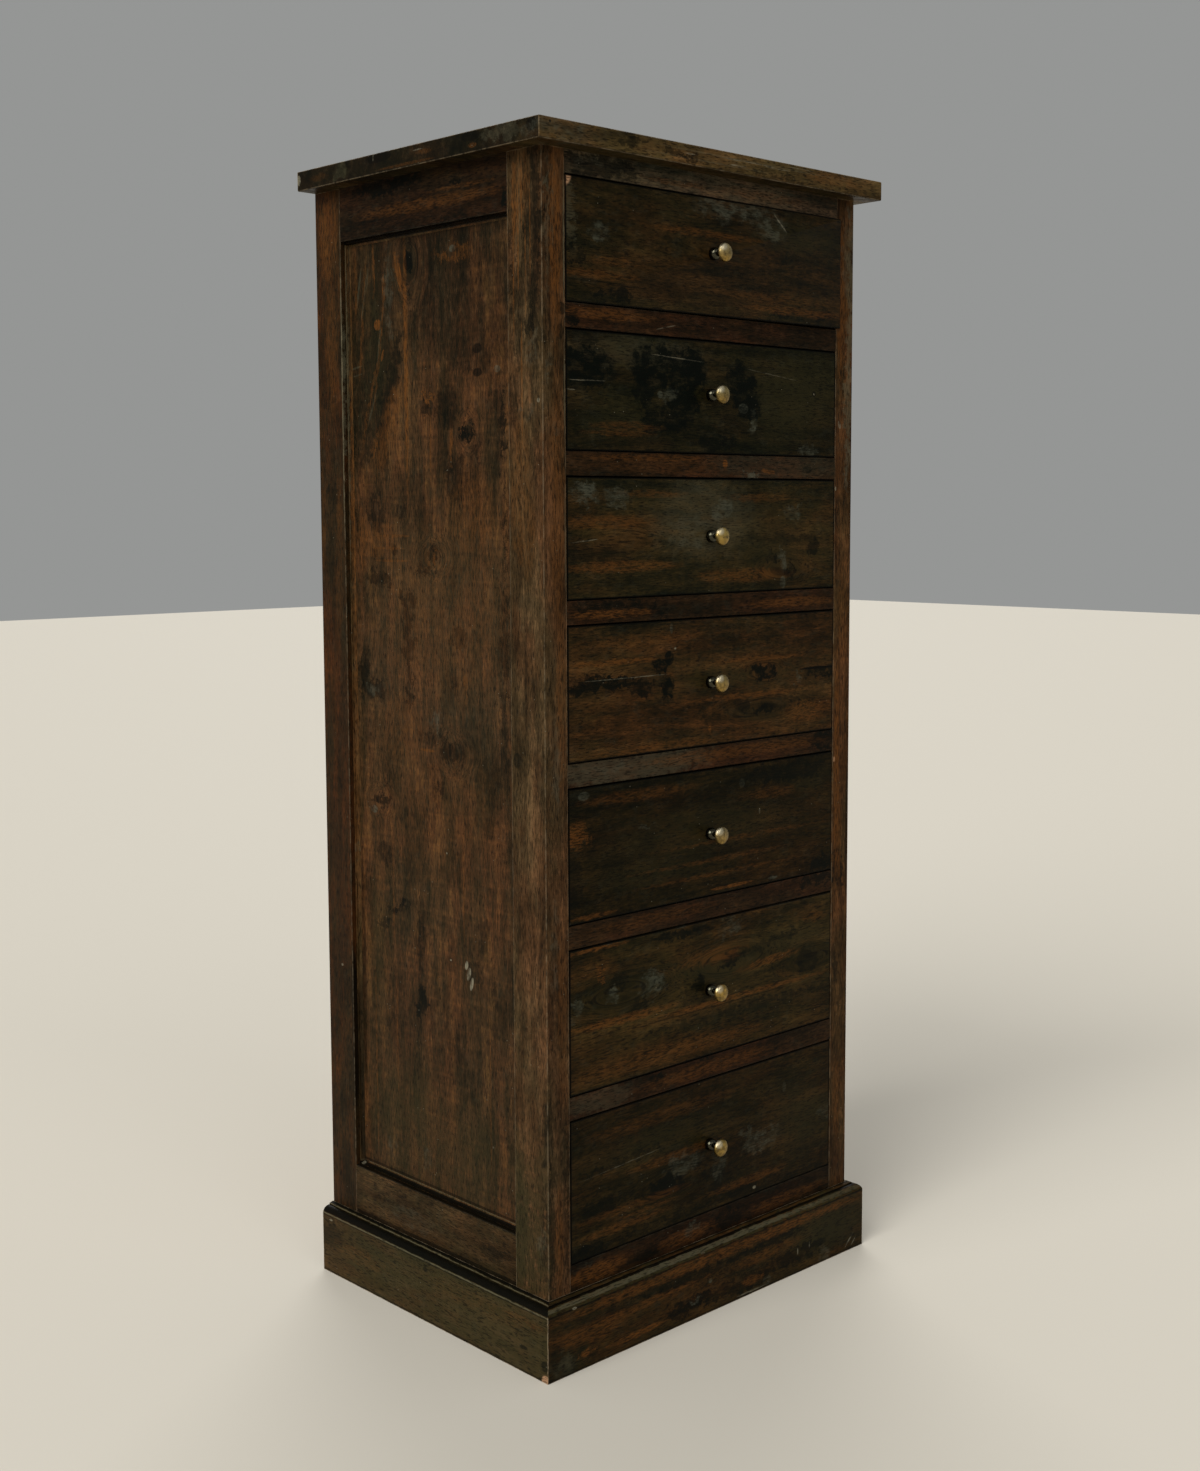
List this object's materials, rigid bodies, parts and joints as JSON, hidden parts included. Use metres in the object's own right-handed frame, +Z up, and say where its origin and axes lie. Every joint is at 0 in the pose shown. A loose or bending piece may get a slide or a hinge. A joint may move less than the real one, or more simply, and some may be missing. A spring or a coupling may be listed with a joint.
{
  "type": "tallboy",
  "caption": "Tall narrow floor-standing chest of graduated drawers in dark hardwood, with panelled sides, an overhanging top, a moulded plinth and small turned brass knobs.",
  "frame": {"origin": "on the floor, at the middle of the footprint of the whole object, knobs included", "axes": "+Z up, +X to the right of someone facing the drawers, -Y out of the drawer fronts"},
  "size_m": [0.582, 0.4518, 1.4],
  "materials": {
    "drawer_front_wood": "satin wax over very dark stained hardwood, worn arrises",
    "frame_wood": "satin wax over dark red-brown stained hardwood",
    "panel_wood": "satin wax over dark brown upright-grained hardwood with darker patches",
    "plinth_wood": "satin wax over dark brown hardwood, greyish on the moulding",
    "inside_wood": "bare planed wood, unfinished",
    "aged_brass": "aged solid brass, softly polished"
  },
  "bodies": {
    "carcass": {"top_board": "frame_wood", "front_post_left": "frame_wood", "front_post_right": "frame_wood", "rear_post_left": "frame_wood", "rear_post_right": "frame_wood", "side_top_rail_left": "frame_wood", "side_top_rail_right": "frame_wood", "side_bottom_rail_left": "frame_wood", "side_bottom_rail_right": "frame_wood", "side_panel_left": "panel_wood", "side_panel_right": "panel_wood", "panel_moulding_left": "frame_wood", "panel_moulding_right": "frame_wood", "front_top_rail": "frame_wood", "drawer_dividers": "frame_wood", "front_bottom_rail": "frame_wood", "rear_rails": "inside_wood", "runners_and_kickers": "inside_wood", "drawer_guides": "inside_wood", "drawer_stops": "inside_wood", "glue_blocks": "inside_wood", "back_boards": "inside_wood", "plinth_front": "plinth_wood", "plinth_left": "plinth_wood", "plinth_right": "plinth_wood"},
    "drawer_1": {"drawer_1_front": "drawer_front_wood", "drawer_1_sides": "inside_wood", "drawer_1_back": "inside_wood", "drawer_1_bottom": "inside_wood", "drawer_1_knob": "aged_brass"},
    "drawer_2": {"drawer_2_front": "drawer_front_wood", "drawer_2_sides": "inside_wood", "drawer_2_back": "inside_wood", "drawer_2_bottom": "inside_wood", "drawer_2_knob": "aged_brass"},
    "drawer_3": {"drawer_3_front": "drawer_front_wood", "drawer_3_sides": "inside_wood", "drawer_3_back": "inside_wood", "drawer_3_bottom": "inside_wood", "drawer_3_knob": "aged_brass"},
    "drawer_4": {"drawer_4_front": "drawer_front_wood", "drawer_4_sides": "inside_wood", "drawer_4_back": "inside_wood", "drawer_4_bottom": "inside_wood", "drawer_4_knob": "aged_brass"},
    "drawer_5": {"drawer_5_front": "drawer_front_wood", "drawer_5_sides": "inside_wood", "drawer_5_back": "inside_wood", "drawer_5_bottom": "inside_wood", "drawer_5_knob": "aged_brass"},
    "drawer_6": {"drawer_6_front": "drawer_front_wood", "drawer_6_sides": "inside_wood", "drawer_6_back": "inside_wood", "drawer_6_bottom": "inside_wood", "drawer_6_knob": "aged_brass"},
    "drawer_7": {"drawer_7_front": "drawer_front_wood", "drawer_7_sides": "inside_wood", "drawer_7_back": "inside_wood", "drawer_7_bottom": "inside_wood", "drawer_7_knob": "aged_brass"}
  },
  "joints": [
    {"name": "drawer_1_slide", "type": "slide", "parent": "carcass", "child": "drawer_1", "axis": [-0.0173, -0.9999, 0], "range_m": [0, 0.27]},
    {"name": "drawer_2_slide", "type": "slide", "parent": "carcass", "child": "drawer_2", "axis": [0, -1, 0], "range_m": [0, 0.27]},
    {"name": "drawer_3_slide", "type": "slide", "parent": "carcass", "child": "drawer_3", "axis": [0, -1, 0], "range_m": [0, 0.27]},
    {"name": "drawer_4_slide", "type": "slide", "parent": "carcass", "child": "drawer_4", "axis": [0, -1, 0], "range_m": [0, 0.27]},
    {"name": "drawer_5_slide", "type": "slide", "parent": "carcass", "child": "drawer_5", "axis": [0, -1, 0], "range_m": [0, 0.27]},
    {"name": "drawer_6_slide", "type": "slide", "parent": "carcass", "child": "drawer_6", "axis": [0, -1, 0], "range_m": [0, 0.27]},
    {"name": "drawer_7_slide", "type": "slide", "parent": "carcass", "child": "drawer_7", "axis": [0, -1, 0], "range_m": [0, 0.27]}
  ]
}
